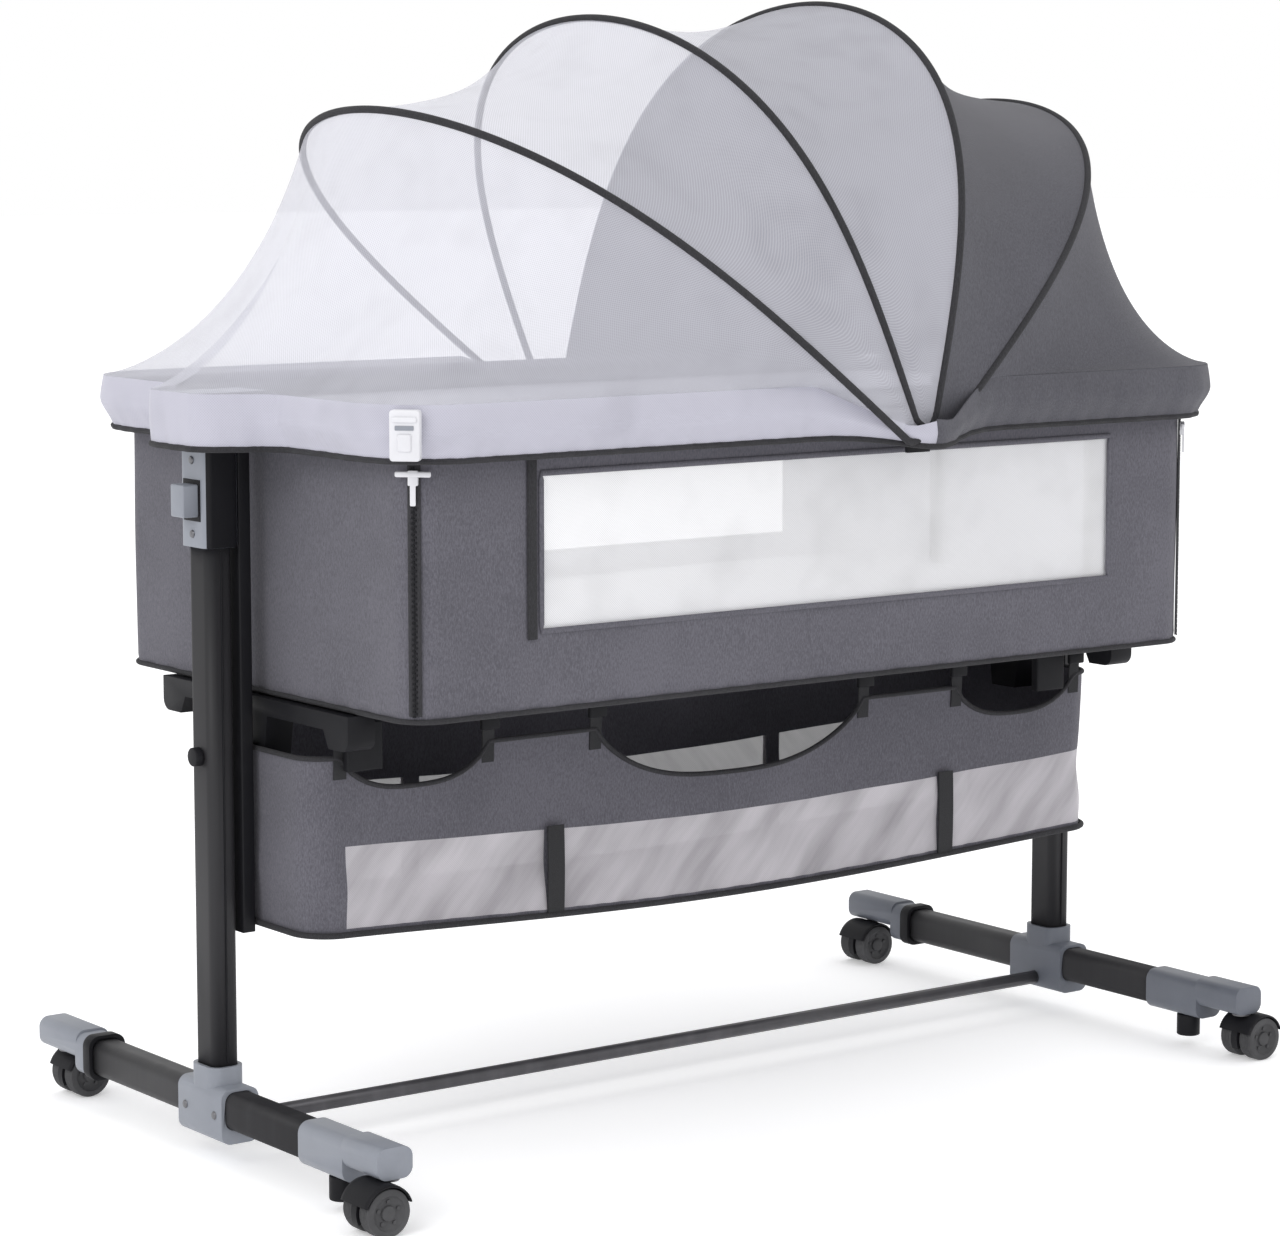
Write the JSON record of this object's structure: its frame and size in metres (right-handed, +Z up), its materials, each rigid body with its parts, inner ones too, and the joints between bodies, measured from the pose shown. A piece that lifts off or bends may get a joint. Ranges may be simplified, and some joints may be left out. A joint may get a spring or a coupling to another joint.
{
  "type": "bassinet on stand",
  "caption": "Fabric bassinet with mesh window, fan canopy and storage basket, carried between two height-adjustable posts on a caster stand.",
  "frame": {"origin": "on the floor under the middle of the stand", "axes": "+X along the bed's length towards the fabric-covered end, +Y to the side away from the zipped drop panel, +Z up"},
  "size_m": [1.02, 0.578, 0.9757],
  "materials": {
    "dark_tube": "satin dark grey powder coat",
    "frame_steel": "satin grey",
    "grey_plastic": "fine-textured blue-grey",
    "dark_plastic": "fine-textured black",
    "white_plastic": "smooth",
    "wheel_rubber": "matt",
    "board": "pressed board",
    "mattress_cover": "soft woven cover",
    "grey_fabric": "heathered weave",
    "white_net": "fine see-through net"
  },
  "bodies": {
    "stand": {"left_foot_rail": "dark_tube", "left_foot_hub": "grey_plastic", "left_front_cap": "grey_plastic", "left_back_cap": "grey_plastic", "left_back_collar": "dark_plastic", "left_front_pad": "dark_plastic", "left_outer_post": "dark_tube", "left_post_stop": "dark_plastic", "right_foot_rail": "dark_tube", "right_foot_hub": "grey_plastic", "right_front_cap": "grey_plastic", "right_back_cap": "grey_plastic", "right_back_collar": "dark_plastic", "right_front_pad": "dark_plastic", "right_outer_post": "dark_tube", "right_post_stop": "dark_plastic", "crossbar": "dark_tube"},
    "bed": {"left_inner_post": "frame_steel", "left_bracket": "grey_plastic", "left_basket_hanger": "dark_plastic", "left_under_support": "dark_plastic", "left_front_upright": "frame_steel", "left_back_upright": "frame_steel", "right_inner_post": "frame_steel", "right_bracket": "grey_plastic", "right_basket_hanger": "dark_plastic", "right_under_support": "dark_plastic", "right_front_upright": "frame_steel", "right_back_upright": "frame_steel", "bed_rail": "frame_steel", "base_frame": "frame_steel", "base_board": "board", "mattress": "mattress_cover", "fabric_body": "grey_fabric", "front_drop_panel": "grey_fabric", "left_rail_clip": "white_plastic", "basket": "grey_fabric", "front_canopy_pivot": "dark_plastic", "back_canopy_pivot": "dark_plastic", "right_cover": "grey_fabric"},
    "left_button": {"left_height_button": "grey_plastic"},
    "left_zip": {"left_zip_slider": "white_plastic"},
    "right_button": {"right_height_button": "grey_plastic"},
    "right_zip": {"right_zip_slider": "white_plastic"},
    "hoop_4": {"canopy_hoop_4": "dark_plastic"},
    "hoop_3": {"canopy_hoop_3": "dark_plastic", "canopy_fabric": "grey_fabric"},
    "hoop_2": {"canopy_hoop_2": "dark_plastic", "canopy_mesh_2": "white_net"},
    "hoop_1": {"canopy_hoop_1": "dark_plastic", "canopy_mesh_1": "white_net", "left_net": "white_net"},
    "left_front_fork": {"left_front_caster_fork": "dark_plastic"},
    "left_front_wheel": {"left_front_caster_wheel": "wheel_rubber"},
    "left_back_fork": {"left_back_caster_fork": "dark_plastic"},
    "left_back_wheel": {"left_back_caster_wheel": "wheel_rubber"},
    "right_front_fork": {"right_front_caster_fork": "dark_plastic"},
    "right_front_wheel": {"right_front_caster_wheel": "wheel_rubber"},
    "right_back_fork": {"right_back_caster_fork": "dark_plastic"},
    "right_back_wheel": {"right_back_caster_wheel": "wheel_rubber"}
  },
  "joints": [
    {"name": "bed_height", "type": "slide", "parent": "stand", "child": "bed", "axis": [0, 0, 1], "range_m": [0, 0.17]},
    {"name": "left_button_press", "type": "slide", "parent": "bed", "child": "left_button", "axis": [1, 0, 0], "range_m": [0, 0.004], "stiffness_N_per_m": 300},
    {"name": "left_zip_pull", "type": "slide", "parent": "bed", "child": "left_zip", "axis": [0, 0, -1], "range_m": [0, 0.165]},
    {"name": "right_button_press", "type": "slide", "parent": "bed", "child": "right_button", "axis": [-1, 0, 0], "range_m": [0, 0.004], "stiffness_N_per_m": 300},
    {"name": "right_zip_pull", "type": "slide", "parent": "bed", "child": "right_zip", "axis": [0, 0, -1], "range_m": [0, 0.165]},
    {"name": "canopy_fold", "type": "hinge", "parent": "bed", "child": "hoop_4", "pos_m": [0.0716, 0, 0.602], "axis": [0, 1, 0], "range_deg": [0, 25], "deforming": ["right_cover"]},
    {"name": "hoop_3_fold", "type": "hinge", "parent": "hoop_4", "child": "hoop_3", "pos_m": [0.0716, 0, 0.602], "axis": [0, 1, 0], "range_deg": [0, 26.5], "deforming": ["canopy_fabric"]},
    {"name": "hoop_2_fold", "type": "hinge", "parent": "hoop_3", "child": "hoop_2", "pos_m": [0.0716, 0, 0.602], "axis": [0, 1, 0], "range_deg": [0, 30.5], "deforming": ["canopy_mesh_2"]},
    {"name": "hoop_1_fold", "type": "hinge", "parent": "hoop_2", "child": "hoop_1", "pos_m": [0.0716, 0, 0.602], "axis": [0, 1, 0], "range_deg": [0, 23.5], "deforming": ["canopy_mesh_1", "left_net"]},
    {"name": "left_front_swivel", "type": "hinge", "parent": "stand", "child": "left_front_fork", "pos_m": [-0.472, -0.265, 0.04], "axis": [0, 0, 1], "continuous": true},
    {"name": "left_front_roll", "type": "hinge", "parent": "left_front_fork", "child": "left_front_wheel", "pos_m": [-0.484, -0.265, 0.02], "axis": [0, 1, 0], "continuous": true},
    {"name": "left_back_swivel", "type": "hinge", "parent": "stand", "child": "left_back_fork", "pos_m": [-0.472, 0.265, 0.04], "axis": [0, 0, 1], "continuous": true},
    {"name": "left_back_roll", "type": "hinge", "parent": "left_back_fork", "child": "left_back_wheel", "pos_m": [-0.46, 0.265, 0.02], "axis": [0, 1, 0], "continuous": true},
    {"name": "right_front_swivel", "type": "hinge", "parent": "stand", "child": "right_front_fork", "pos_m": [0.472, -0.265, 0.04], "axis": [0, 0, 1], "continuous": true},
    {"name": "right_front_roll", "type": "hinge", "parent": "right_front_fork", "child": "right_front_wheel", "pos_m": [0.484, -0.265, 0.02], "axis": [0, 1, 0], "continuous": true},
    {"name": "right_back_swivel", "type": "hinge", "parent": "stand", "child": "right_back_fork", "pos_m": [0.472, 0.265, 0.04], "axis": [0, 0, 1], "continuous": true},
    {"name": "right_back_roll", "type": "hinge", "parent": "right_back_fork", "child": "right_back_wheel", "pos_m": [0.46, 0.265, 0.02], "axis": [0, 1, 0], "continuous": true}
  ],
  "couplings": [
    {"joint": "hoop_3_fold", "follows": "canopy_fold", "ratio": 1.04},
    {"joint": "hoop_2_fold", "follows": "canopy_fold", "ratio": 1.2},
    {"joint": "hoop_1_fold", "follows": "canopy_fold", "ratio": 0.92}
  ]
}
